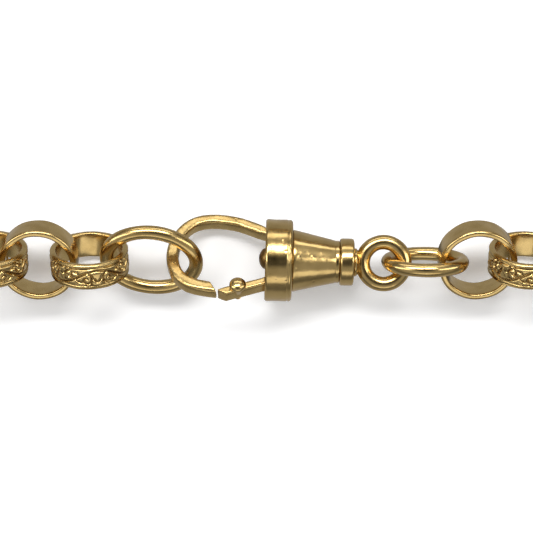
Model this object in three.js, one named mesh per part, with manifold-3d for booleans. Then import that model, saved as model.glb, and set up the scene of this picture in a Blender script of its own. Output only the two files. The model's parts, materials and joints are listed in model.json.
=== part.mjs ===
// A single Albert watch chain. Forty-four belcher links, plain and patterned in turn, run from
// the swivel ring of a snap clip round to the oval link that the clip's hook holds, so the chain
// lies closed on itself as a long oval on the table.
//
// Frame: millimetres, +Z up, the table at z = 0, the origin under the middle of the loop.
// The clip lies along +X on the -Y side, hook to -X and swivel ring to +X.

import * as THREE from 'three';
import { mergeVertices } from 'three/addons/utils/BufferGeometryUtils.js';
import Module from 'manifold-3d';

const wasm = await Module();
wasm.setup();

// ---------------------------------------------------------------- driving dimensions
const AXIS_HEIGHT = 4.42;                  // every link centre and the clip's axis above the table
const FIT_GAP = 0.3;                       // clearance round a pin, shank or spigot

const BELCHERS = 44;
const PITCH = 5.3;                         // between the contacts of one belcher link
const HALF_OPENING = 17.71;                // half the distance between the first and last contact
const BEND_LINKS = 14;                     // links that share each half-turn of the loop
const BELCHER_RADIUS = 4.2;
const BELCHER_WALL = 0.8;
const BELCHER_WIDTH = 2.9;
const BELCHER_CHAMFER = 0.35;
const PLAIN_TILT = THREE.MathUtils.degToRad(29);       // lean of a plain link's axis off vertical
const PATTERNED_TILT = THREE.MathUtils.degToRad(-62);  // a patterned link leans the other way
const BELCHER_FACETS = 18;

const CLIP_X = -1.765;                     // the collar's mouth, seen from the middle of the loop
const CLIP_YAW = THREE.MathUtils.degToRad(-1.5);       // the barrel points a little off the chain's line
const CLIP_ROLL = THREE.MathUtils.degToRad(-37);       // the hook's plane rolled about the barrel
const COLLAR_RADIUS = 4.35;
const COLLAR_LENGTH = 2.6;
const COLLAR_WALL = 0.42;
const SHELL_WALL = 0.5;
const CONE_START = 2.7;
const CONE_END = 7.55;
const CONE_BIG_RADIUS = 3.25;
const CONE_SMALL_RADIUS = 2.2;
const SPIGOT_RADIUS = 2.0;
const NECK_START = 7.65;
const NECK_END = 9.15;
const NECK_RADIUS = 2.5;
const SHANK_RADIUS = 0.7;
const RING_CENTRE = 12.3;
const RING_RADIUS = 2.2;
const RING_WIRE = 0.8;
const WIRE_DEPTH = 1.55;                   // of the hook and the gate, square to the hook's plane
const HOOK_MOUTH_GAP = 0.15;
const GATE_PIVOT = new THREE.Vector2(1.1, -2.76);
const GATE_PIN_RADIUS = 0.35;
const KNUCKLE_RADIUS = 0.9;
const STUD_CENTRE = new THREE.Vector2(-2.9, -4.12);
const STUD_RADIUS = 0.88;
const STUD_SHANK = 0.3;
const HOOK_STEPS = 22;

// The hook's centre line from the collar to the tip, as x, y and the wire's width there.
const HOOK_PATH = [
  [-0.6, 3.72, 1.3],
  [-1.6, 4.1, 1.2],
  [-3.2, 4.65, 1.15],
  [-5.6, 4.97, 1.1],
  [-7.6, 4.5, 1.05],
  [-8.95, 3.2, 1.05],
  [-9.75, 1.3, 1.05],
  [-9.8, -0.7, 1.05],
  [-9.1, -2.5, 1.15],
  [-7.7, -3.65, 1.3],
  [-5.75, -4.04, 1.5],
];

const RIGHT_OVAL = { half: 4.65, side: 3.75, wire: 0.72, x: 16.68, y: -0.2, tilt: 107.4, turn: 0, lift: 0 };
const LEFT_OVAL = { half: 5.5, side: 4.3, wire: 0.72, x: -12.1, y: 0, tilt: 36, turn: -5, lift: 0 };

const GOLD = { color: 0xcaa75c, roughness: 0.28, metalness: 1 };
const RED_GOLD = { color: 0xb98f48, roughness: 0.34, metalness: 1 };
const STEEL = { color: 0x9a9a98, roughness: 0.4, metalness: 1 };

// ---------------------------------------------------------------- helpers
const group = new THREE.Group();

function welded(geometry) {
  const bare = geometry.index ? geometry.toNonIndexed() : geometry.clone();
  bare.deleteAttribute('normal');
  bare.deleteAttribute('uv');
  return mergeVertices(bare, 1e-4);
}

function toSolid(geometry) {
  const mesh = welded(geometry);
  return new wasm.Manifold(new wasm.Mesh({
    numProp: 3,
    vertProperties: Float32Array.from(mesh.attributes.position.array),
    triVerts: Uint32Array.from(mesh.index.array),
  }));
}

function fromSolid(solid) {
  const mesh = solid.getMesh();
  const geometry = new THREE.BufferGeometry();
  geometry.setAttribute('position', new THREE.BufferAttribute(mesh.vertProperties, 3));
  geometry.setIndex(new THREE.BufferAttribute(mesh.triVerts, 1));
  return geometry;
}

function addPart(parent, name, geometry, finish) {
  const mesh = new THREE.Mesh(geometry, new THREE.MeshStandardMaterial(finish));
  mesh.name = name;
  parent.add(mesh);
  return mesh;
}

// A body turned about the X axis. The profile lists [x, radius] pairs and closes on itself.
function turnedAboutX(profile, facets) {
  const points = [...profile, profile[0]].map(([x, radius]) => new THREE.Vector2(radius, x));
  return new THREE.LatheGeometry(points, facets).rotateZ(-Math.PI / 2);
}

function rodAlongX(radius, start, end, facets = 16) {
  const rod = new THREE.CylinderGeometry(radius, radius, end - start, facets);
  return rod.rotateZ(-Math.PI / 2).translate((start + end) / 2, 0, 0);
}

function rodAlongZ(radius, length, centre, facets = 16) {
  const rod = new THREE.CylinderGeometry(radius, radius, length, facets);
  return rod.rotateX(Math.PI / 2).translate(centre.x, centre.y, 0);
}

// ---------------------------------------------------------------- the belcher chain
// The heading of link i leaves the clip's line at 0 degrees and turns evenly through a half-turn.
function halfHeadings(straightLinks) {
  return Array.from({ length: BELCHERS / 2 }, (_, i) => {
    const turned = (i + 0.5 - straightLinks) / BEND_LINKS;
    return Math.PI * Math.min(Math.max(turned, 0), 1);
  });
}

// How far past the middle of the far side the first half of the chain ends.
function halfMismatch(straightLinks) {
  const run = halfHeadings(straightLinks).reduce((sum, h) => sum + PITCH * Math.cos(h), 0);
  return HALF_OPENING + run;
}

// The straight stretch beside the clip that makes the two halves meet, by halving the bracket.
function solveStraightLinks() {
  let low = 0;
  let high = 8;
  for (let step = 0; step < 60; step += 1) {
    const middle = (low + high) / 2;
    if (halfMismatch(middle) > 0) high = middle;
    else low = middle;
  }
  return (low + high) / 2;
}

function belcherPlaces() {
  const first = halfHeadings(solveStraightLinks());
  const second = [...first].reverse().map((heading) => 2 * Math.PI - heading);
  const places = [];
  let x = HALF_OPENING;
  let y = 0;
  for (const heading of [...first, ...second]) {
    const stepX = PITCH * Math.cos(heading);
    const stepY = PITCH * Math.sin(heading);
    places.push({ x: x + stepX / 2, y: y + stepY / 2, heading });
    x += stepX;
    y += stepY;
  }
  return places;
}

// A wide band: flat inside, with its outer edges eased.
function belcherBand() {
  const inner = BELCHER_RADIUS - BELCHER_WALL;
  const side = BELCHER_WIDTH / 2;
  const profile = [
    [inner, -side],
    [BELCHER_RADIUS - BELCHER_CHAMFER, -side],
    [BELCHER_RADIUS, BELCHER_CHAMFER - side],
    [BELCHER_RADIUS, side - BELCHER_CHAMFER],
    [BELCHER_RADIUS - BELCHER_CHAMFER, side],
    [inner, side],
    [inner, -side],
  ];
  const points = profile.map(([radius, axial]) => new THREE.Vector2(radius, axial));
  return new THREE.LatheGeometry(points, BELCHER_FACETS).rotateX(Math.PI / 2);
}

function addBelchers(places) {
  places.forEach((place, index) => {
    const plain = index % 2 === 0;
    const seat = new THREE.Group();
    seat.position.set(place.x, place.y, AXIS_HEIGHT);
    seat.rotation.z = place.heading;
    const number = String(index + 1).padStart(2, '0');
    const name = `belcher_${number}_${plain ? 'plain' : 'patterned'}`;
    const link = addPart(seat, name, welded(belcherBand()), GOLD);
    link.rotation.x = plain ? PLAIN_TILT : PATTERNED_TILT;
    group.add(seat);
  });
}

// ---------------------------------------------------------------- the two oval wire links
// A torus whose sections slide along X, so the wire keeps its thickness round the oval.
function ovalLink({ half, side, wire }) {
  const roundRadius = side - wire;
  const stretch = half - side;
  const oval = new THREE.TorusGeometry(roundRadius, wire, 10, 28);
  const position = oval.attributes.position;
  for (let i = 0; i < position.count; i += 1) {
    const angle = Math.atan2(position.getY(i), position.getX(i));
    position.setX(i, position.getX(i) + stretch * Math.cos(angle));
  }
  return welded(oval);
}

function addOval(parent, name, oval) {
  const link = addPart(parent, name, ovalLink(oval), GOLD);
  link.position.set(oval.x, oval.y, oval.lift);
  link.rotation.set(THREE.MathUtils.degToRad(oval.tilt), 0, THREE.MathUtils.degToRad(oval.turn), 'ZYX');
}

// ---------------------------------------------------------------- the clip, round the X axis
function slab(outline, curveSegments = 8) {
  const solid = new THREE.ExtrudeGeometry(outline, { depth: WIRE_DEPTH, bevelEnabled: false, curveSegments });
  return solid.translate(0, 0, -WIRE_DEPTH / 2);
}

// The bow is its centre line widened to both sides. A tongue enters the collar, and the tip is
// cut on a slant that faces the gate's nose.
function hookBow() {
  const line = new THREE.CatmullRomCurve3(HOOK_PATH.map(([x, y]) => new THREE.Vector3(x, y, 0)));
  const widths = new THREE.CatmullRomCurve3(HOOK_PATH.map(([, , width]) => new THREE.Vector3(width, 0, 0)));
  const outer = [];
  const inner = [];
  for (let i = 0; i < HOOK_STEPS; i += 1) {
    const share = i / HOOK_STEPS;
    const centre = line.getPoint(share);
    const along = line.getTangent(share);
    const half = widths.getPoint(share).x / 2;
    outer.push(new THREE.Vector2(centre.x + along.y * half, centre.y - along.x * half));
    inner.unshift(new THREE.Vector2(centre.x - along.y * half, centre.y + along.x * half));
  }
  const tongue = [[-HOOK_MOUTH_GAP, 2.9], [1.9, 2.75], [1.9, 3.4], [-HOOK_MOUTH_GAP, 3.4], [-HOOK_MOUTH_GAP, 4.2]];
  const tip = [new THREE.Vector2(-5.2, -4.77), new THREE.Vector2(-6.05, -3.35)];
  const root = tongue.map(([x, y]) => new THREE.Vector2(x, y));
  return slab(new THREE.Shape([...root, ...outer, ...tip, ...inner]));
}

function gatePinHole(length) {
  return toSolid(rodAlongZ(GATE_PIN_RADIUS + FIT_GAP, length, GATE_PIVOT).rotateX(CLIP_ROLL));
}

// A cup with its mouth at x = 0, bored across for the gate's pin.
function collar() {
  const bore = COLLAR_RADIUS - COLLAR_WALL;
  const back = SPIGOT_RADIUS + FIT_GAP;
  const lip = 0.25;
  const cup = turnedAboutX([
    [0, bore],
    [0, COLLAR_RADIUS - lip],
    [lip, COLLAR_RADIUS],
    [COLLAR_LENGTH - lip, COLLAR_RADIUS],
    [COLLAR_LENGTH, COLLAR_RADIUS - lip],
    [COLLAR_LENGTH, back],
    [COLLAR_LENGTH - SHELL_WALL, back],
    [COLLAR_LENGTH - SHELL_WALL, bore],
  ], 36);
  return fromSolid(toSolid(cup).subtract(gatePinHole(3 * COLLAR_RADIUS)));
}

// The hollow taper, with a spigot in front that sits in the collar's back.
function barrelCone() {
  const spigotStart = COLLAR_LENGTH - SHELL_WALL;
  return turnedAboutX([
    [spigotStart, SPIGOT_RADIUS - SHELL_WALL],
    [spigotStart, SPIGOT_RADIUS],
    [CONE_START, SPIGOT_RADIUS],
    [CONE_START, CONE_BIG_RADIUS - 0.15],
    [CONE_START + 0.2, CONE_BIG_RADIUS],
    [CONE_END, CONE_SMALL_RADIUS],
    [CONE_END, CONE_SMALL_RADIUS - SHELL_WALL],
    [CONE_START + SHELL_WALL, SPIGOT_RADIUS - SHELL_WALL + 0.6],
  ], 32);
}

// The rounded bead that closes the taper, with a spigot inside it and a bore for the shank.
function neckBead() {
  const bore = SHANK_RADIUS + FIT_GAP;
  const spigot = CONE_SMALL_RADIUS - SHELL_WALL - FIT_GAP;
  const spigotStart = NECK_START - 0.7;
  const half = (NECK_END - NECK_START) / 2;
  const rounds = [0.15, 0.35, 0.5, 0.65, 0.85].map((share) => {
    const angle = Math.PI * share;
    const x = NECK_START + half - half * Math.cos(angle);
    return [x, NECK_RADIUS - half + half * Math.sin(angle)];
  });
  return turnedAboutX([
    [spigotStart, bore],
    [spigotStart, spigot],
    [NECK_START, spigot],
    ...rounds,
    [NECK_END, NECK_RADIUS - half],
    [NECK_END, bore],
  ], 28);
}

// The ring lies flat. Its shank runs back through the neck and ends in a peened head.
function swivelRing() {
  const ring = toSolid(new THREE.TorusGeometry(RING_RADIUS, RING_WIRE, 12, 32).translate(RING_CENTRE, 0, 0));
  const shankStart = 6.0;
  const shank = toSolid(rodAlongX(SHANK_RADIUS, shankStart, RING_CENTRE - RING_RADIUS));
  const head = toSolid(rodAlongX(SHANK_RADIUS + 0.55, shankStart - 0.5, shankStart + 0.05));
  return fromSolid(ring.add(shank).add(head));
}

function swivelWasher() {
  const hole = SHANK_RADIUS + FIT_GAP;
  return turnedAboutX([
    [6.2, hole],
    [6.2, hole + 0.5],
    [6.5, hole + 0.5],
    [6.5, hole],
  ], 20);
}

// A domed plug that fills the mouth between the hook's tongue and the gate's knuckle.
function frontPlug() {
  const dome = [1, 0.75, 0.5, 0.25, 0].map((share) => {
    const angle = (Math.PI / 2) * share;
    return new THREE.Vector2(1.15 * Math.cos(angle), -0.8 * Math.sin(angle));
  });
  const points = [
    ...dome,
    new THREE.Vector2(1.15, 1.1),
    new THREE.Vector2(0.7, 1.1),
    new THREE.Vector2(0.7, 2.7),
    new THREE.Vector2(0, 2.7),
  ];
  return new THREE.LatheGeometry(points, 20).rotateZ(-Math.PI / 2).translate(0, 0.2, 0);
}

// A lever with a knuckle round the pin and a pointed nose that meets the hook's tip.
function gateLever() {
  const outline = new THREE.Shape();
  outline.absarc(GATE_PIVOT.x, GATE_PIVOT.y, KNUCKLE_RADIUS, -Math.PI / 2, Math.PI / 2, false);
  outline.lineTo(-0.47, -2.77);
  outline.lineTo(-4.4, -4.1);
  outline.lineTo(-4.85, -4.5);
  outline.lineTo(-4.05, -5.1);
  outline.lineTo(-0.3, -3.72);
  const hole = new THREE.Path();
  hole.absarc(GATE_PIVOT.x, GATE_PIVOT.y, GATE_PIN_RADIUS + FIT_GAP, 0, 2 * Math.PI, true);
  const studHole = new THREE.Path();
  studHole.absarc(STUD_CENTRE.x, STUD_CENTRE.y, STUD_SHANK + 0.1, 0, 2 * Math.PI, true);
  outline.holes.push(hole, studHole);
  return slab(outline);
}

// A thumb stud riveted through the gate: a dome above and a small flat head below.
function thumbStud() {
  const seat = WIRE_DEPTH / 2 + 0.05;
  const domeHeight = 0.8;
  const dome = [0, 0.25, 0.5, 0.75, 1].map((share) => {
    const angle = (Math.PI / 2) * share;
    return new THREE.Vector2(STUD_RADIUS * Math.cos(angle), seat + domeHeight * Math.sin(angle));
  });
  const points = [
    new THREE.Vector2(0, -seat - 0.2),
    new THREE.Vector2(0.45, -seat - 0.2),
    new THREE.Vector2(0.45, -seat),
    new THREE.Vector2(STUD_SHANK, -seat),
    new THREE.Vector2(STUD_SHANK, seat),
    ...dome,
  ];
  const stud = new THREE.LatheGeometry(points, 20).rotateX(Math.PI / 2);
  return stud.translate(STUD_CENTRE.x, STUD_CENTRE.y, 0);
}

function gatePin() {
  const halfChord = Math.sqrt(COLLAR_RADIUS ** 2 - (GATE_PIVOT.y - GATE_PIN_RADIUS) ** 2);
  return rodAlongZ(GATE_PIN_RADIUS, 2 * halfChord, GATE_PIVOT);
}

// A leaf between the plug and the gate's knuckle.
function gateSpring() {
  const outline = new THREE.Shape();
  outline.moveTo(2.0, -1.3);
  outline.lineTo(0.7, -1.45);
  outline.lineTo(0.7, -1.6);
  outline.lineTo(2.0, -1.45);
  return new THREE.ExtrudeGeometry(outline, { depth: 1.2, bevelEnabled: false }).translate(0, 0, -0.6);
}

// ---------------------------------------------------------------- assembly
addBelchers(belcherPlaces());

const clipLine = new THREE.Group();
clipLine.position.set(CLIP_X, 0, AXIS_HEIGHT);
group.add(clipLine);
addOval(clipLine, 'right_oval_link', RIGHT_OVAL);
addOval(clipLine, 'left_oval_link', LEFT_OVAL);

const barrel = new THREE.Group();
barrel.rotation.z = CLIP_YAW;
clipLine.add(barrel);
addPart(barrel, 'swivel_ring', swivelRing(), GOLD);
addPart(barrel, 'swivel_washer', welded(swivelWasher()), STEEL);
addPart(barrel, 'neck_bead', welded(neckBead()), GOLD);
addPart(barrel, 'barrel_cone', welded(barrelCone()), GOLD);
addPart(barrel, 'collar', collar(), GOLD);

const rolled = new THREE.Group();
rolled.rotation.x = CLIP_ROLL;
barrel.add(rolled);
addPart(rolled, 'front_plug', welded(frontPlug()), RED_GOLD);
addPart(rolled, 'hook_bow', welded(hookBow()), GOLD);
addPart(rolled, 'gate_lever', welded(gateLever()), GOLD);
addPart(rolled, 'thumb_stud', welded(thumbStud()), GOLD);
addPart(rolled, 'gate_pin', welded(gatePin()), RED_GOLD);
addPart(rolled, 'gate_spring', welded(gateSpring()), STEEL);

// The origin goes under the middle of the loop, on the table.
const extent = new THREE.Box3().setFromObject(group, true);
const middle = extent.getCenter(new THREE.Vector3());
group.position.set(-middle.x, -middle.y, -extent.min.z);

export default group;
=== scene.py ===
# %% [markdown]
# # A gold belcher watch chain with a snap clip
#
# The real thing is a single Albert: forty-four wide "belcher" rings, plain and hand-engraved in
# turn, that run from the swivel ring of a snap clip to an oval end link. The clip's hook holds
# that end link, so the chain lies closed on itself. Every ring is bent from gold strip and
# soldered, the clip's barrel is turned on a lathe, and its hook is forged and filed.
#
# The mechanical frame is fixed beforehand: it says where each piece sits and what it moves with.
# This lesson builds the fine surfaces round it, one piece at a time, as functions of two
# parameters worked out with numpy.

# %% Open the frame
import json
import math

import bpy
import numpy as np
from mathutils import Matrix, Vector


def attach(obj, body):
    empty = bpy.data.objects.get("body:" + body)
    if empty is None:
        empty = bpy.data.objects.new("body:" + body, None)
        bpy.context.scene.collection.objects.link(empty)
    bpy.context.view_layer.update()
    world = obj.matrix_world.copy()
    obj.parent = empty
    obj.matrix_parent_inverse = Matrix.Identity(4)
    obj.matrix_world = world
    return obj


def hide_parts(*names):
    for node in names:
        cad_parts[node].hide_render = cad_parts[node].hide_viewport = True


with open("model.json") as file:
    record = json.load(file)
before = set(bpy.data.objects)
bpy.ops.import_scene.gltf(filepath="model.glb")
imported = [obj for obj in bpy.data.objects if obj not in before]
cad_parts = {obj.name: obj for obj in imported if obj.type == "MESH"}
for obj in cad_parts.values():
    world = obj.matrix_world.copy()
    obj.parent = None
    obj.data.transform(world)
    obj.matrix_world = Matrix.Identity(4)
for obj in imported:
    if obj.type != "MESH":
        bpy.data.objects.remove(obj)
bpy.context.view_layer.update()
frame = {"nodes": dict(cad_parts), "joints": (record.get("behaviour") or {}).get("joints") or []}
MM = 0.001

# %% [markdown]
# ## Where everything sits
#
# Nothing is measured by eye. The joint between the swivel ring and the clip gives the barrel's
# axis, and the gate's hinge gives the direction that the hook's flat side faces. Two small frames
# of axes follow: one for the turned barrel, one for the hook and gate, which lie in a plane rolled
# about the barrel. A chain link sits halfway between its own hinge and the next one.

# %% Axes of the clip
JOINTS = {joint["name"]: joint for joint in frame["joints"]}
SWIVEL_AT = 8.4 * MM     # the swivel joint, measured along the barrel from the collar's mouth

swivel = JOINTS["clip_swivel"]
ALONG = np.array(swivel["axis"], float)
ALONG /= np.linalg.norm(ALONG)
CLIP = np.array(swivel["pos_m"], float) - SWIVEL_AT * ALONG
UP = np.array([0.0, 0.0, 1.0])
FACING = np.array(JOINTS["gate_hinge"]["axis"], float)
FACING -= ALONG * (FACING @ ALONG)
FACING /= np.linalg.norm(FACING)

BARREL_AXES = np.array([ALONG, np.cross(UP, ALONG), UP])
HOOK_AXES = np.array([ALONG, np.cross(FACING, ALONG), FACING])
print("clip origin in mm", np.round(CLIP / MM, 3))


def placed(points_mm, axes, origin=CLIP):
    """Point = origin + x * first axis + y * second axis + z * third axis, from mm to metres."""
    return origin + (np.asarray(points_mm, float) * MM) @ axes


# %% [markdown]
# ## From a grid of points to a closed mesh
#
# Each piece here is a sheet of points with two parameters, u and v. A ring closes in both
# directions. A rod closes round its section only, so its two ends are drawn together in a pole.
# The signed volume of the result says whether the faces point outwards; if it is negative the
# faces are turned round, once, for the whole piece.

# %% Grid to mesh
def grid_faces(rows, columns, closed_rows):
    """Quads between neighbours of a grid whose columns close on themselves."""
    ids = np.arange(rows * columns).reshape(rows, columns)
    near = ids if closed_rows else ids[:-1]
    far = np.roll(ids, -1, 0) if closed_rows else ids[1:]
    quads = [near, far, np.roll(far, -1, 1), np.roll(near, -1, 1)]
    return np.stack(quads, -1).reshape(-1, 4)


def pole_faces(ring, pole, flip):
    """Triangles from a ring of point numbers to one pole."""
    following = np.roll(ring, -1)
    order = [following, ring] if flip else [ring, following]
    return np.stack([*order, np.full_like(ring, pole)], -1)


def closed_surface(name, points, closed_rows=True, cut=None):
    """Mesh of a grid of points in metres. Columns always close. Rows close, or end in poles that
    sit at the middle of the first and last row."""
    rows, columns = points.shape[:2]
    verts = points.reshape(-1, 3)
    quads = grid_faces(rows, columns, closed_rows)
    fans = np.empty((0, 3), int)
    if not closed_rows:
        count = len(verts)
        verts = np.vstack([verts, points[0].mean(0), points[-1].mean(0)])
        first = pole_faces(np.arange(columns), count, False)
        last = pole_faces(np.arange(columns) + (rows - 1) * columns, count + 1, True)
        fans = np.vstack([first, last])
    triangles = np.vstack([quads[:, [0, 1, 2]], quads[:, [0, 2, 3]], fans])
    a, b, c = (verts[triangles[:, k]] for k in range(3))
    if np.einsum("ij,ij->i", a, np.cross(b, c)).sum() < 0:
        quads, fans = quads[:, ::-1], fans[:, ::-1]
    mesh = bpy.data.meshes.new(name)
    mesh.vertices.add(len(verts))
    mesh.vertices.foreach_set("co", verts.astype(np.float32).ravel())
    loops = np.concatenate([quads.ravel(), fans.ravel()])
    mesh.loops.add(len(loops))
    mesh.loops.foreach_set("vertex_index", loops.astype(np.int32))
    starts = np.concatenate([np.arange(len(quads)) * 4, len(quads) * 4 + np.arange(len(fans)) * 3])
    mesh.polygons.add(len(starts))
    mesh.polygons.foreach_set("loop_start", starts.astype(np.int32))
    mesh.update(calc_edges=True)
    mesh.validate()
    mesh.shade_smooth()
    if cut is not None:
        values = np.zeros(len(verts), np.float32)
        values[: cut.size] = cut.ravel()
        mesh.attributes.new("cut", "FLOAT", "POINT").data.foreach_set("value", values)
    piece = bpy.data.objects.new(name, mesh)
    bpy.context.scene.collection.objects.link(piece)
    return piece


# %% [markdown]
# ## Turned, bent and forged shapes
#
# Three ways of making cover the whole chain. A lathe profile is carried round an axis: its sharp
# corners are first eased with short curves, because no filed or polished edge is truly sharp.
# Wire is a round section carried round a ring. Forged bar is a flattened oval section stretched
# between two edge lines.

# %% Shape helpers
def eased(corners, radius, steps=5, closed=True):
    """Replaces each corner of a polyline by a curve from the point before it to the point after
    it, each no further than the radius or 45% of the edge: (1-t)^2 a + 2t(1-t) corner + t^2 b."""
    p = np.array(corners, float)
    before, after = np.roll(p, 1, 0) - p, np.roll(p, -1, 0) - p
    reach_a = np.minimum(radius / np.maximum(np.linalg.norm(before, axis=1), 1e-9), 0.45)
    reach_b = np.minimum(radius / np.maximum(np.linalg.norm(after, axis=1), 1e-9), 0.45)
    start, end = p + before * reach_a[:, None], p + after * reach_b[:, None]
    t = np.linspace(0, 1, steps)[None, :, None]
    curve = (1 - t) ** 2 * start[:, None] + 2 * t * (1 - t) * p[:, None] + t**2 * end[:, None]
    if closed:
        return curve.reshape(-1, p.shape[1])
    inner = curve[1:-1].reshape(-1, p.shape[1])
    return np.vstack([p[:1], inner, p[-1:]])


def turned(name, profile, axes, steps=128, closed=True, centre=(0, 0), wobble=0.0):
    """Lathe work: each profile point [x, r] becomes x * axis + r * (cos a, sin a). Open profiles
    end in poles, so they start and stop a hair off the axis. wobble lets hand tools show."""
    angle = np.linspace(0, 2 * math.pi, steps, endpoint=False)[None, :]
    x, r = (np.array(profile, float)[:, k][:, None] for k in (0, 1))
    uneven = 1 - wobble * (1 + np.sin(3 * angle + 1.7 * x) * np.cos(5 * angle - 2.3 * x))
    radius = r * uneven
    side_y = centre[0] + radius * np.cos(angle)
    side_z = centre[1] + radius * np.sin(angle)
    grid = np.stack([x + 0 * angle, side_y, side_z], -1)
    return closed_surface(name, placed(grid, axes), closed_rows=closed)


def wire_grid(half, side, wire, around=160, section=36, uneven=0.0):
    """Round wire bent to an oval in mm: a ring of radius side - wire whose sections slide along
    X by (half - side) * cos(angle), so the wire keeps its thickness."""
    a = np.linspace(0, 2 * math.pi, around, endpoint=False)[:, None]
    b = np.linspace(0, 2 * math.pi, section, endpoint=False)[None, :]
    thick = wire * (1 - uneven * (1 + np.sin(2 * a + 0.6) * np.cos(5 * a)) * 0.5)
    reach = side - wire + thick * np.cos(b)
    x = reach * np.cos(a) + (half - side) * np.cos(a)
    return np.stack([x, reach * np.sin(a) + 0 * b, thick * np.sin(b) + 0 * a], -1)


def spline(points, steps):
    """Smooth line through given points: the Catmull-Rom cubic of each four neighbours."""
    p = np.array(points, float)
    p = np.vstack([2 * p[0] - p[1], p, 2 * p[-1] - p[-2]])
    place = np.linspace(0, len(p) - 3, steps)
    k = np.minimum(place.astype(int), len(p) - 4)
    t = (place - k)[:, None]
    a, b, c, d = p[k], p[k + 1], p[k + 2], p[k + 3]
    return 0.5 * (2 * b + (c - a) * t + (2 * a - 5 * b + 4 * c - d) * t**2 + (3 * b - a - 3 * c + d) * t**3)


def bar(name, edge_a, edge_b, depth, power=4.0, section=48, dents=0.0, axes=HOOK_AXES):
    """Forged bar in mm between two edge lines [x, y]: centre + half width * sign(cos)|cos|^(2/p)
    across, and half depth * sign(sin)|sin|^(2/p) out of the plane. dents sink the faces."""
    a, b = np.array(edge_a, float), np.array(edge_b, float)
    phi = np.linspace(0, 2 * math.pi, section, endpoint=False) + 0.5 * math.pi / section
    across = np.sign(np.cos(phi)) * np.abs(np.cos(phi)) ** (2 / power)
    out = np.sign(np.sin(phi)) * np.abs(np.sin(phi)) ** (2 / power)
    half, centre = (b - a) / 2, (a + b) / 2
    row = np.arange(len(a))[:, None] * 1.0
    hammer = 1 - dents * (1 + np.sin(0.55 * row + 2 * phi) * np.cos(0.31 * row - 3 * phi + 1))
    deep = np.broadcast_to(np.asarray(depth, float).reshape(-1, 1), (len(a), 1))
    xy = centre[:, None, :] + half[:, None, :] * (across * hammer)[:, :, None]
    z = deep / 2 * out[None, :] * hammer
    return closed_surface(name, placed(np.dstack([xy, z]), axes), closed_rows=False)


print("helpers ready")

# %% [markdown]
# ## Gold that has been worn
#
# Nine-carat gold reflects red and green well and blue poorly, so a second bounce inside a ring
# turns brown. Its polish is never even: wear leaves fine scratches in every direction and patches
# that are a little duller. The finish is a metal shader. Noise in object space, from a few
# hundredths of a millimetre to two millimetres across, drives its roughness and very small bumps,
# and the depth of the engraving drives a painted shade that darkens the cuts to dark brown.

# %% Material helpers
GOLD = (0.70, 0.495, 0.20, 1)
DULL_GOLD = (0.44, 0.28, 0.085, 1)
RED_GOLD = (0.26, 0.155, 0.05, 1)
# Dark brown: a dull patch tone for the inner gold, and the painted shade in the engraved cuts
TARNISH_AND_CUT_SHADE = (0.12, 0.062, 0.014, 1)
STEEL = (0.42, 0.42, 0.40, 1)
DULL_STEEL = (0.25, 0.24, 0.22, 1)
PER_METRE = 1000.0       # object coordinates are metres, and the textures are sized in mm
SCRATCH_DEPTH = 0.006    # mm, as are the three below
HAMMER_DEPTH = 0.12
LATHE_DEPTH = 0.03
PIT_DEPTH = 0.05


def link_nodes(tree, a, out, b, into):
    tree.links.new(a.outputs[out], b.inputs[into])


def noise_node(tree, coords, scale, detail=4.0, stretch=(1, 1, 1)):
    """Noise with its scale in cells per millimetre, stretched along the axes."""
    mapping = tree.nodes.new("ShaderNodeMapping")
    mapping.inputs["Scale"].default_value = [PER_METRE * s for s in stretch]
    noise = tree.nodes.new("ShaderNodeTexNoise")
    noise.inputs["Scale"].default_value = scale
    noise.inputs["Detail"].default_value = detail
    link_nodes(tree, coords, "Object", mapping, "Vector")
    link_nodes(tree, mapping, "Vector", noise, "Vector")
    return noise


def remap(tree, source, out, low, high, to_low, to_high):
    node = tree.nodes.new("ShaderNodeMapRange")
    for socket, value in zip(("From Min", "From Max", "To Min", "To Max"), (low, high, to_low, to_high)):
        node.inputs[socket].default_value = value
    link_nodes(tree, source, out, node, "Value")
    return node


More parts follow.
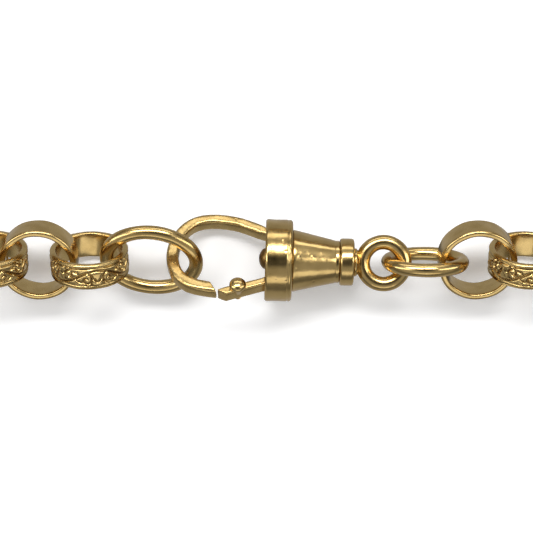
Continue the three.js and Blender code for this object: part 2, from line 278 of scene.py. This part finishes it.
def metal(
    name, colour, dull, rough, scratch=0.25, hammer=0.0, turned_lines=0.0, cut_shade=0.0, pits=0.0
):
    """Metal whose colour drifts between clean and dull, with scratches across and along, and
    optional hammer marks, lathe lines, small pits, and painted shade that darkens engraved cuts."""
    material = bpy.data.materials.new(name)
    material.use_nodes = True
    tree = material.node_tree
    shader = tree.nodes["Principled BSDF"]
    shader.inputs["Metallic"].default_value = 1.0
    coords = tree.nodes.new("ShaderNodeTexCoord")
    cloud = noise_node(tree, coords, 0.55, 5)
    mix = tree.nodes.new("ShaderNodeMix")
    mix.data_type = "RGBA"
    mix.inputs["A"].default_value, mix.inputs["B"].default_value = colour, dull
    patches = remap(tree, cloud, "Fac", 0.42, 0.78, 0.0, 0.6)
    link_nodes(tree, patches, "Result", mix, "Factor")
    last = mix
    # Painted shade: the engraved cuts are darkened to dark brown by their depth, in place of the shade in
    # the grooves
    if cut_shade > 0:
        depth = tree.nodes.new("ShaderNodeAttribute")
        depth.attribute_name = "cut"
        dark = tree.nodes.new("ShaderNodeMix")
        dark.data_type = "RGBA"
        dark.inputs["B"].default_value = TARNISH_AND_CUT_SHADE
        link_nodes(tree, remap(tree, depth, "Fac", 0.15, 0.9, 0.0, cut_shade), "Result", dark, "Factor")
        link_nodes(tree, mix, "Result", dark, "A")
        last = dark
    link_nodes(tree, last, "Result", shader, "Base Color")
    fine = noise_node(tree, coords, 1.7, 4)
    roughness = remap(tree, fine, "Fac", 0.3, 0.75, rough * 0.85, rough * 1.25)
    link_nodes(tree, roughness, "Result", shader, "Roughness")
    height = tree.nodes.new("ShaderNodeMath")
    height.operation = "ADD"
    link_nodes(tree, noise_node(tree, coords, 1.0, 3, (0.8, 16, 16)), "Fac", height, "Value")
    tree.links.new(noise_node(tree, coords, 1.0, 3, (14, 0.9, 14)).outputs["Fac"], height.inputs[1])
    bump = tree.nodes.new("ShaderNodeBump")
    bump.inputs["Strength"].default_value = scratch
    bump.inputs["Distance"].default_value = SCRATCH_DEPTH * MM
    link_nodes(tree, height, "Value", bump, "Height")
    if hammer > 0:
        marks = tree.nodes.new("ShaderNodeBump")
        marks.inputs["Strength"].default_value = hammer
        marks.inputs["Distance"].default_value = HAMMER_DEPTH * MM
        link_nodes(tree, noise_node(tree, coords, 0.9, 1), "Fac", marks, "Height")
        link_nodes(tree, bump, "Normal", marks, "Normal")
        bump = marks
    if turned_lines > 0:
        lines = tree.nodes.new("ShaderNodeBump")
        lines.inputs["Strength"].default_value = turned_lines
        lines.inputs["Distance"].default_value = LATHE_DEPTH * MM
        link_nodes(tree, noise_node(tree, coords, 1.0, 3, (9, 0.25, 0.25)), "Fac", lines, "Height")
        link_nodes(tree, bump, "Normal", lines, "Normal")
        bump = lines
    if pits > 0:
        cells = tree.nodes.new("ShaderNodeTexVoronoi")
        cells.inputs["Scale"].default_value = 0.85 * PER_METRE
        link_nodes(tree, coords, "Object", cells, "Vector")
        dings = tree.nodes.new("ShaderNodeBump")
        dings.inputs["Strength"].default_value = pits
        dings.inputs["Distance"].default_value = PIT_DEPTH * MM
        link_nodes(tree, remap(tree, cells, "Distance", 0.03, 0.17, 0.0, 1.0), "Result", dings, "Height")
        link_nodes(tree, bump, "Normal", dings, "Normal")
        bump = dings
    link_nodes(tree, bump, "Normal", shader, "Normal")
    return material


FINISH = {
    "polished": metal("worn_polish", GOLD, DULL_GOLD, 0.20, scratch=0.14, hammer=0.07),
    # The engraved links get painted shade in their cuts
    "engraved": metal("engraved_polish", GOLD, DULL_GOLD, 0.21, scratch=0.1, cut_shade=0.7),
    "hammered": metal("hammered_satin", GOLD, DULL_GOLD, 0.27, scratch=0.12, hammer=0.35, pits=0.35),
    "lathe": metal(
        "lathe_satin", GOLD, DULL_GOLD, 0.18, scratch=0.1, hammer=0.26, turned_lines=0.12, pits=0.5
    ),
    "inner": metal("inner_red_gold", RED_GOLD, TARNISH_AND_CUT_SHADE, 0.34, scratch=0.5),
    "steel": metal("hidden_steel", STEEL, DULL_STEEL, 0.36, scratch=0.6),
}
print("finishes", ", ".join(FINISH))


def finish(piece, body, finish_name, slot, *nodes):
    """Gives a piece its metal, hangs it on the body that it moves with, and hides the frame's parts that it
    stands for.
    """
    piece.data.materials.append(FINISH[finish_name])
    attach(piece, body)
    if nodes:
        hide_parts(*nodes)
    print(f"{piece.name}: {len(piece.data.polygons)} faces on {body}")


# %% [markdown]
# ## The pattern on the engraved links
#
# An engraver pushes a V-shaped tool through the polished strip before it is bent. The running
# pattern here is generic scrollwork: a stem that waves between two border lines, a curled scroll
# on each side of it, and short leaf strokes that fan out from every curl. Each line is a row of
# short segments. The depth at a point is that of a V: deepest on the line, and nothing once the
# distance passes the stroke's half-width. The metal between the cuts stands slightly proud, as
# the tool raises it.

# %% Engraving as a depth map
CELLS = 6                # scroll pairs to a link
CELL = 4.4               # mm of strip for each
CUT_DEPTH = 0.2
PROUD = 0.1
FIELD = 0.97             # mm from the middle, where the scrollwork stops
BORDERS = (0.98, 1.2)    # mm from the middle, two lines on each side
BORDER_WIDTH = 0.085


def stroke(x, y, width):
    """Line through points as segments [x1, y1, x2, y2, half-width]."""
    w = np.broadcast_to(width, x.shape)
    return np.stack([x[:-1], y[:-1], x[1:], y[1:], (w[:-1] + w[1:]) / 2], -1)


def scroll_strokes():
    """One cell: a waving stem, a spiral whose radius shrinks evenly with its angle, and a shell
    of leaf strokes round it. Spiral and leaves come again, turned half a turn about the middle."""
    u = np.linspace(0, CELL, 40)
    stem = [stroke(u, 0.74 * np.cos(math.pi * u / CELL), 0.16)]
    t = np.linspace(0, 1, 46)
    angle = 1.9 + t * 2.2 * math.pi
    radius = 0.60 * (1 - t) + 0.1
    cx, cy = 1.2, -0.24
    half = [stroke(cx + radius * np.cos(angle), cy + radius * np.sin(angle), 0.17 - 0.05 * t)]
    s = np.linspace(0, 1, 5)
    for lean in np.linspace(3.0, 5.8, 4):
        reach = 0.66 + 0.5 * s
        turn = lean + 0.45 * s
        half.append(stroke(cx + reach * np.cos(turn), cy + reach * np.sin(turn), 0.15 * (1 - 0.55 * s)))
    half = np.vstack(half)
    other = half * [-1, -1, -1, -1, 1] + [CELL, 0, CELL, 0, 0]
    return np.vstack([*stem, half, other])


def engraving(along, across):
    """Depth of cut from 0 to 1, and height of the proud metal, at points of the strip in mm."""
    cell = np.floor(along / CELL)
    flip = np.where(cell % 2 == 0, 1.0, -1.0)
    px, py = (along - cell * CELL).ravel(), (across * flip).ravel()
    nearest = np.full(px.shape, 9.0)
    for x1, y1, x2, y2, width in scroll_strokes():
        dx, dy = x2 - x1, y2 - y1
        t = np.clip(((px - x1) * dx + (py - y1) * dy) / (dx * dx + dy * dy + 1e-12), 0, 1)
        nearest = np.minimum(nearest, np.hypot(px - x1 - t * dx, py - y1 - t * dy) / width)
    nearest = nearest.reshape(along.shape)
    off = np.abs(across)
    border = np.minimum(np.abs(off - BORDERS[0]), np.abs(off - BORDERS[1])) / BORDER_WIDTH
    cut = np.maximum(np.clip(1 - nearest, 0, 1) * (off < FIELD), np.clip(1 - border, 0, 1))
    proud = np.clip(nearest / 2.2, 0, 1) * np.clip((BORDERS[0] - off) / 0.15, 0, 1)
    return cut, proud


print("strokes in a cell", len(scroll_strokes()))


# %% [markdown]
# ## The belcher links
#
# A belcher link is a broad flat strip bent to a ring and soldered. Its section is a rounded
# rectangle: slightly crowned outside, easy on its inner corners, where the next link rubs. The
# plain and the engraved links share one grid function, and the engraved ones only get a finer
# grid and the cuts. Neighbouring links lean opposite ways, as they do when a chain is laid flat.

# %% Belcher bands
OUTER = 4.155            # mm, just inside the frame's link so that the rounded edges stay inside
INNER = 3.42
HALF_WIDTH = 1.425
OUTER_EASE = 0.26
INNER_EASE = 0.24
CROWN = 0.05
INNER_CROWN = 0.04
FACE_ABOVE = 3.8         # mm from the ring's axis: further out is the face, and
BORE_BELOW = 3.5         # nearer than this is the inside
OVALNESS = 0.0035
RIPPLE = 0.012
LEANS = {"plain": math.radians(29), "patterned": math.radians(-62)}
rng = np.random.default_rng(7)


def arc(centre_r, centre_w, radius, start, steps):
    """Quarter turn of a rounded corner in the [r, w] plane, without its end points."""
    a = np.radians(start + np.linspace(0, 90, steps + 2)[1:-1])
    return np.stack([centre_r + radius * np.cos(a), centre_w + radius * np.sin(a)], -1)


def strip_section(face_steps):
    """Rounded rectangle [r, w] that starts with the outer face, so the engraving finds it."""
    flat = HALF_WIDTH - OUTER_EASE
    low = HALF_WIDTH - INNER_EASE
    w = np.linspace(-flat, flat, face_steps)
    outer = np.stack([np.full(face_steps, OUTER), w], -1)
    inside = np.stack([np.full(7, INNER), np.linspace(low, -low, 7)], -1)
    return np.vstack([
        outer,
        arc(OUTER - OUTER_EASE, flat, OUTER_EASE, 0, 5),
        [[OUTER - OUTER_EASE, HALF_WIDTH], [INNER + INNER_EASE, HALF_WIDTH]],
        arc(INNER + INNER_EASE, low, INNER_EASE, 90, 4),
        inside,
        arc(INNER + INNER_EASE, -low, INNER_EASE, 180, 4),
        [[INNER + INNER_EASE, -HALF_WIDTH], [OUTER - OUTER_EASE, -HALF_WIDTH]],
        arc(OUTER - OUTER_EASE, -flat, OUTER_EASE, 270, 5),
    ])


def belcher_band(name, kind, centre, heading, phase):
    """Ring point = (r cos a, r sin a, w), leaned about the chain's line, turned to the heading
    and moved to its centre. Hand bending leaves r a touch uneven round the ring."""
    engraved = kind == "patterned"
    around, face = (384, 44) if engraved else (150, 16)
    section = strip_section(face)
    a = np.linspace(0, 2 * math.pi, around, endpoint=False)[:, None]
    r, w = section[:, 0][None, :], section[:, 1][None, :]
    is_face = (np.arange(len(section)) < face)[None, :]
    crown = CROWN * (w / HALF_WIDTH) ** 2 * (r > FACE_ABOVE)
    body = r - crown + INNER_CROWN * (r < BORE_BELOW) * (w / HALF_WIDTH) ** 2
    oval = body * (1 - OVALNESS * (1 + np.sin(2 * a + phase)))
    radius = oval - RIPPLE * (1 + np.sin(9 * a + 3 * w + phase))
    cut = None
    if engraved:
        strip = (a / (2 * math.pi) * CELLS * CELL + phase) % (CELLS * CELL)
        depth, proud = engraving(strip + 0 * w, w + 0 * a)
        cut = depth * is_face
        radius = radius - (CUT_DEPTH * cut + PROUD * (1 - proud) * is_face)
    lean = LEANS[kind]
    x = radius * np.cos(a)
    y = radius * np.sin(a) * math.cos(lean) - w * math.sin(lean)
    z = radius * np.sin(a) * math.sin(lean) + w * math.cos(lean)
    forward = np.array([math.cos(heading), math.sin(heading), 0])
    axes = np.array([forward, np.cross(UP, forward), UP])
    points = placed(np.stack([x, y, z], -1), axes, centre)
    return closed_surface(name, points, cut=cut)


links = sorted(node for node in frame["nodes"] if node.startswith("belcher"))
bodies = ["_".join(node.split("_")[:2]) for node in links]
ends = [f"{body}_hinge" for body in bodies] + ["left_oval_hinge"]
for number, (node, body) in enumerate(zip(links, bodies)):
    start = np.array(JOINTS[ends[number]]["pos_m"], float)
    stop = np.array(JOINTS[ends[number + 1]]["pos_m"], float)
    turn = math.atan2(stop[1] - start[1], stop[0] - start[0])
    kind = node.split("_")[2]
    band = belcher_band(f"{body}_band", kind, (start + stop) / 2, turn, rng.uniform(0, 6.28))
    finish(band, body, "engraved" if kind == "patterned" else "polished", "polished_gold", node)

# %% [markdown]
# ## The two oval links
#
# These are round wire, bent to an oval and soldered at one end. The smaller one joins the chain to
# the swivel ring and stands nearly on edge; the larger one is what the hook holds.

# %% Oval wire links
RIGHT_OVAL = {
    "half": 4.63, "side": 3.73, "wire": 0.74, "at": (16.68, -0.2, 0), "tilt": 107.4, "turn": 0,
}
LEFT_OVAL = {
    "half": 5.48, "side": 4.28, "wire": 0.76, "at": (-12.1, 0.0, 0), "tilt": 36, "turn": -5,
}
FLAT_AXES = np.eye(3)


def oval_link(name, oval):
    """Oval wire, tilted about X, then turned about Z, then moved to its place by the clip."""
    grid = wire_grid(oval["half"], oval["side"], oval["wire"], 200, 40, uneven=0.05)
    tilt, turn = math.radians(oval["tilt"]), math.radians(oval["turn"])
    x, y, z = grid[..., 0], grid[..., 1], grid[..., 2]
    y, z = y * math.cos(tilt) - z * math.sin(tilt), y * math.sin(tilt) + z * math.cos(tilt)
    x, y = x * math.cos(turn) - y * math.sin(turn), x * math.sin(turn) + y * math.cos(turn)
    moved = np.stack([x, y, z], -1) + np.array(oval["at"])
    return closed_surface(name, placed(moved, FLAT_AXES))


for side_name, oval in (("right", RIGHT_OVAL), ("left", LEFT_OVAL)):
    wire = oval_link(f"{side_name}_oval_wire", oval)
    finish(wire, f"{side_name}_oval", "polished", "polished_gold", f"{side_name}_oval_link")

# %% [markdown]
# ## The barrel of the clip
#
# Collar, taper and neck bead are lathe work. The collar is a cup with a soft lip at its mouth and
# a thin rim line at its back; the taper has a small step where it meets the collar and another
# before the neck; the bead is a squat rounded ring. Each profile is a closed outline, so the
# walls have their real thickness and the mouth can be looked into.

# %% Turned pieces
collar_outline = eased([
    (-0.14, 3.93), (-0.14, 4.2), (0.06, 4.33), (0.9, 4.29), (2.12, 4.31), (2.2, 4.25), (2.28, 4.25),
    (2.36, 4.3), (2.55, 4.26), (2.7, 4.05), (2.7, 2.31), (2.1, 2.31), (2.1, 3.93),
], 0.12)
collar = turned("collar_turned", collar_outline, BARREL_AXES, 192, wobble=0.0012)
finish(collar, "clip_body", "lathe", "polished_gold", "collar")

cone_outline = eased([
    (2.1, 1.5), (2.1, 1.99), (2.74, 1.99), (2.74, 3.26), (3.0, 3.22), (4.8, 2.8), (6.9, 2.32),
    (7.15, 2.26), (7.25, 2.22), (7.45, 2.24), (7.64, 2.2), (7.64, 1.7), (3.3, 2.1),
], 0.12)
cone = turned("barrel_cone_turned", cone_outline, BARREL_AXES, 160, wobble=0.0015)
finish(cone, "clip_body", "lathe", "polished_gold", "barrel_cone")

bead_outline = eased([
    (6.95, 1.0), (6.95, 1.4), (7.67, 1.4), (7.67, 2.36), (7.82, 2.49), (9.0, 2.49), (9.15, 2.34),
    (9.15, 1.0),
], 0.2)
bead = turned("neck_bead_turned", bead_outline, BARREL_AXES, 128, wobble=0.001)
finish(bead, "clip_body", "polished", "polished_gold", "neck_bead")

DOME_HEIGHT = 0.8
DOME_RADIUS = 1.14
sweep = np.linspace(0.02, math.pi / 2, 14)
plug_outline = np.vstack([
    np.stack([-DOME_HEIGHT * np.cos(sweep), DOME_RADIUS * np.sin(sweep)], -1),
    eased([
        (0, DOME_RADIUS), (1.08, DOME_RADIUS), (1.1, 0.68), (2.68, 0.68), (2.7, 0.01),
    ], 0.1, closed=False)[1:],
])
plug = turned("front_plug_dome", plug_outline, HOOK_AXES, 72, closed=False, centre=(0.2, 0))
finish(plug, "clip_body", "inner", "inner_gold", "front_plug")

# %% [markdown]
# ## The swivel ring
#
# The ring is cast round wire with a short shank, which runs back through the neck bead and is
# peened over a washer inside the taper. A lump of solder thickens the joint between ring and
# shank, so the shank flares as it meets the ring.

# %% Ring, shank and washer
RING_CENTRE = 12.3
RING_SIDE = 2.99
RING_WIRE = 0.79

ring_grid = wire_grid(RING_SIDE, RING_SIDE, RING_WIRE, 150, 40, uneven=0.03)
ring_grid = ring_grid + np.array([RING_CENTRE, 0, 0])
ring = closed_surface("swivel_ring_wire", placed(ring_grid, BARREL_AXES))
finish(ring, "swivel_eye", "polished", "polished_gold", "swivel_ring")
shank_outline = eased([
    (5.5, 0.01), (5.5, 1.1), (5.62, 1.24), (5.95, 1.24), (6.05, 0.7), (9.16, 0.69), (9.17, 1.45),
    (9.4, 1.5), (9.75, 1.05), (9.95, 0.4), (9.97, 0.01),
], 0.15, closed=False)
shank = turned("swivel_ring_shank", shank_outline, BARREL_AXES, 64, closed=False)
finish(shank, "swivel_eye", "polished", "polished_gold")
washer_outline = eased([(6.2, 1.0), (6.2, 1.5), (6.5, 1.5), (6.5, 1.0)], 0.08)
washer = turned("swivel_washer_disc", washer_outline, BARREL_AXES, 64)
finish(washer, "swivel_eye", "steel", "spring_steel", "swivel_washer")

# %% [markdown]
# ## The hook
#
# The bow of the hook is forged bar, deeper than it is wide, and filed to a slanted tip that meets
# the gate. It is worked out as two edge lines. Each is the bow's centre line moved sideways by
# half the wire's width there; near the tip both lines run to the corners of the slanted end.

# %% Forged hook
WIRE_DEPTH = 1.55
HOOK_STEPS = 260
SLANT_FROM = 236             # step where the edges begin to run to the slanted end
SLANT_STEPS = 23
SLANT_POWER = 1.4
TIP_THINNING = [0.985, 0.95, 0.86]
HOOK_LINE = [                # x, y and width in the hook's plane, from inside the collar to the tip
    (1.85, 3.07, 0.62), (0.9, 3.08, 0.62), (0.1, 3.2, 0.7), (-0.6, 3.62, 1.15), (-1.6, 4.06, 1.2),
    (-3.2, 4.65, 1.2), (-5.6, 4.95, 1.2), (-7.6, 4.5, 1.22), (-8.95, 3.2, 1.26), (-9.75, 1.3, 1.3),
    (-9.8, -0.7, 1.3), (-9.1, -2.5, 1.3), (-7.7, -3.62, 1.4), (-5.75, -4.04, 1.52),
]
TIP_OUTER = np.array([-5.06, -4.76])
TIP_INNER = np.array([-5.88, -3.34])

line = spline(HOOK_LINE, HOOK_STEPS)
heading = np.gradient(line[:, :2], axis=0)
heading /= np.linalg.norm(heading, axis=1)[:, None]
side = np.stack([-heading[:, 1], heading[:, 0]], -1) * line[:, 2:] / 2
outer_edge, inner_edge = line[:, :2] - side, line[:, :2] + side
slant = np.clip((np.arange(HOOK_STEPS) - SLANT_FROM) / SLANT_STEPS, 0, 1)[:, None] ** SLANT_POWER
outer_edge = outer_edge * (1 - slant) + TIP_OUTER * slant
inner_edge = inner_edge * (1 - slant) + TIP_INNER * slant
depth = np.full(HOOK_STEPS, WIRE_DEPTH - 0.02)
depth[-len(TIP_THINNING):] *= TIP_THINNING
hook = bar("hook_bow_wire", outer_edge, inner_edge, depth, power=3.6, section=64, dents=0.011)
finish(hook, "clip_body", "hammered", "polished_gold", "hook_bow")

# %% [markdown]
# ## The gate, its stud, pin and spring
#
# The gate is a short filed lever. A knuckle round the pin lets it swing inwards, its nose is cut
# to a point that shuts on the hook's tip, and a ball-headed stud near the nose gives the thumb
# something to push. The pin is riveted through the collar and the leaf spring hides inside it.

# %% Gate lever and knuckle
PIVOT = (1.1, -2.76)
GATE_STEPS = 57
GATE_TOP = [                 # from the knuckle's wall, clear of its bore, to the nose
    (0.42, -2.32), (0.1, -2.45), (-0.47, -2.78), (-2.4, -3.44), (-4.1, -4.0), (-4.4, -4.1),
    (-4.8, -4.34), (-4.94, -4.47),
]
GATE_FOOT = [
    (0.5, -3.57), (0.3, -3.6), (-0.3, -3.7), (-2.2, -4.4), (-3.85, -4.99), (-4.05, -5.06),
    (-4.45, -4.86), (-4.86, -4.6),
]


def even_line(points, steps):
    """Straight-edged line through the points, with evenly spread points in between."""
    p = np.array(points, float)
    place = np.linspace(0, len(p) - 1, steps)
    return np.stack([np.interp(place, np.arange(len(p)), p[:, k]) for k in (0, 1)], -1)


arm = bar(
    "gate_lever_arm", even_line(GATE_TOP, GATE_STEPS), even_line(GATE_FOOT, GATE_STEPS),
    WIRE_DEPTH - 0.03, power=4.6, section=56, dents=0.008,
)
finish(arm, "gate", "hammered", "polished_gold", "gate_lever")

PIN_AXES = HOOK_AXES[[2, 0, 1]]
knuckle_outline = eased([(-0.76, 0.64), (-0.76, 0.89), (0.76, 0.89), (0.76, 0.64)], 0.12)
knuckle = turned("gate_knuckle", knuckle_outline, PIN_AXES, 72, centre=PIVOT)
finish(knuckle, "gate", "hammered", "polished_gold")

STUD_AT = (-2.9, -4.12)
STUD_SEAT = 0.825
BALL_SINK = 0.42             # radians of the ball below its widest line
BALL_HEIGHT = 0.78
BALL_RADIUS = 0.87
ball = np.linspace(-BALL_SINK, math.pi / 2 - 0.01, 22)
rise = BALL_HEIGHT * (np.sin(ball) + math.sin(BALL_SINK)) / (1 + math.sin(BALL_SINK))
stud_outline = np.vstack([
    eased([
        (-1.02, 0.01), (-1.02, 0.34), (-0.86, 0.44), (-0.8, 0.28), (0.8, 0.28),
    ], 0.08, closed=False)[:-1],
    np.stack([STUD_SEAT + 0.02 + rise, BALL_RADIUS * np.cos(ball)], -1),
])
stud = turned("thumb_stud_ball", stud_outline, PIN_AXES, 72, closed=False, centre=STUD_AT)
finish(stud, "gate", "polished", "polished_gold", "thumb_stud")

# %% Pin and spring
pin_outline = eased([
    (-3.0, 0.01), (-2.96, 0.28), (-2.85, 0.345), (2.85, 0.345), (2.96, 0.28), (3.0, 0.01),
], 0.08, closed=False)
pin = turned("gate_pin_rod", pin_outline, PIN_AXES, 40, closed=False, centre=PIVOT)
finish(pin, "clip_body", "inner", "inner_gold", "gate_pin")
LEAF_WIDTH = 1.18
leaf_top = even_line([(2.0, -1.32), (0.72, -1.46)], 20)
leaf_foot = even_line([(2.0, -1.44), (0.72, -1.58)], 20)
leaf = bar("gate_spring_leaf", leaf_top, leaf_foot, LEAF_WIDTH, power=6)
finish(leaf, "clip_body", "steel", "spring_steel", "gate_spring")

# %% [markdown]
# ## Table, light and camera
#
# Gold is only as good as what it mirrors. One broad soft light stands to the far side, and gives
# every piece its bright upper streak. A weaker one faces it, and a dim surround leaves the sides
# olive. Straight above the chain it is darker, as where a person leans over it. The
# camera looks straight down at the clip. The paper glows faintly, like a light table, and is
# left out of reflections, so the gold's underside mirrors the dim surround and not the paper.

# %% Floor
FLOOR_REACH = 0.9        # metres from the middle to each side
PAPER_GLOW = 0.2
floor_mesh = bpy.data.meshes.new("table_top")
corners = [(FLOOR_REACH * x, FLOOR_REACH * y, 0) for x, y in ((-1, -1), (1, -1), (1, 1), (-1, 1))]
floor_mesh.from_pydata(corners, [], [(0, 1, 2, 3)])
floor = bpy.data.objects.new("table_top", floor_mesh)
bpy.context.scene.collection.objects.link(floor)
paper = bpy.data.materials.new("white_paper")
paper.use_nodes = True
paper_shader = paper.node_tree.nodes["Principled BSDF"]
paper_shader.inputs["Base Color"].default_value = (0.95, 0.95, 0.95, 1)
paper_shader.inputs["Roughness"].default_value = 0.9
paper_shader.inputs["Emission Color"].default_value = (1, 1, 1, 1)
paper_shader.inputs["Emission Strength"].default_value = PAPER_GLOW
floor_mesh.materials.append(paper)
floor.visible_glossy = False
print("table", 2 * FLOOR_REACH, "m square")


# %% Lights
def area_light(name, position, size, power, aim):
    """Soft rectangular light in metres, turned to face its aim."""
    data = bpy.data.lights.new(name, "AREA")
    data.shape = "RECTANGLE"
    data.size, data.size_y = size
    data.energy = power
    lamp = bpy.data.objects.new(name, data)
    lamp.location = position
    towards = Vector(aim) - Vector(position)
    lamp.rotation_euler = towards.to_track_quat("-Z", "Y").to_euler()
    bpy.context.scene.collection.objects.link(lamp)
    return lamp


target = Vector(CLIP)
area_light("window_far", target + Vector((-0.05, 0.34, 0.53)), (0.60, 0.17), 3.1, target)
area_light("card_low_far", target + Vector((0.0, 0.52, 0.15)), (0.6, 0.13), 0.5, target)
area_light("card_near", target + Vector((0.05, -0.52, 0.34)), (0.6, 0.2), 0.3, target)
area_light("card_left", target + Vector((-0.50, 0.06, 0.42)), (0.16, 0.5), 0.9, target)
area_light("card_right", target + Vector((0.50, 0.10, 0.42)), (0.16, 0.5), 0.9, target)

BEAM_LEAN = 0.1          # a dark beam runs overhead along X, a little to the far side
BEAM_CORE = 0.05         # fully dark as far as this from its middle,
BEAM_EDGE = 0.15         # and over by here
BEAM_STRENGTH = 0.16

world = bpy.data.worlds.new("surround")
world.use_nodes = True
sky = world.node_tree
direction = sky.nodes.new("ShaderNodeTexCoord")
split = sky.nodes.new("ShaderNodeSeparateXYZ")
ramp = sky.nodes.new("ShaderNodeValToRGB")
sky.links.new(direction.outputs["Generated"], split.inputs[0])
climb = remap(sky, split, "Z", -1, 1, 0, 1)
sky.links.new(climb.outputs["Result"], ramp.inputs["Fac"])
sky.links.new(ramp.outputs["Color"], sky.nodes["Background"].inputs["Color"])
offset, distance = (sky.nodes.new("ShaderNodeMath") for _ in range(2))
offset.operation, distance.operation = "SUBTRACT", "ABSOLUTE"
offset.inputs[1].default_value = BEAM_LEAN
sky.links.new(split.outputs["Y"], offset.inputs[0])
sky.links.new(offset.outputs[0], distance.inputs[0])
shade = remap(sky, distance, "Value", BEAM_CORE, BEAM_EDGE, BEAM_STRENGTH, 1.0)
sky.links.new(shade.outputs["Result"], sky.nodes["Background"].inputs["Strength"])
SURROUND = [              # height from straight down, -1, to straight up, 1, and the grey there
    (-1.0, 0.46), (-0.2, 0.33), (0.0, 0.13), (0.3, 0.18), (0.5, 0.40), (0.9, 0.36), (0.975, 0.06),
]
for height, grey in SURROUND:
    stop = ramp.color_ramp.elements.new((height + 1) / 2)
    stop.color = (grey, grey * 1.01, grey * 1.03, 1)
ramp.color_ramp.elements.remove(ramp.color_ramp.elements[0])
ramp.color_ramp.elements.remove(ramp.color_ramp.elements[-1])
bpy.context.scene.world = world
print("surround greys", [grey for _, grey in SURROUND])

# %% Camera
CAMERA_ABOVE = 0.17
VIEW_WIDTH = 0.056
SENSOR = 36.0
AIM_DROP = 0.68          # mm that the view's middle lies nearer than the clip's axis
camera_data = bpy.data.cameras.new("above_the_clip")
camera_data.sensor_width = SENSOR
camera_data.lens = SENSOR * CAMERA_ABOVE / VIEW_WIDTH
camera = bpy.data.objects.new("above_the_clip", camera_data)
camera.location = (CLIP[0], CLIP[1] - AIM_DROP * MM, CLIP[2] + CAMERA_ABOVE)
bpy.context.scene.collection.objects.link(camera)
bpy.context.scene.camera = camera
bpy.context.scene.view_settings.view_transform = "Standard"
print("lens", round(camera_data.lens, 1), "mm")
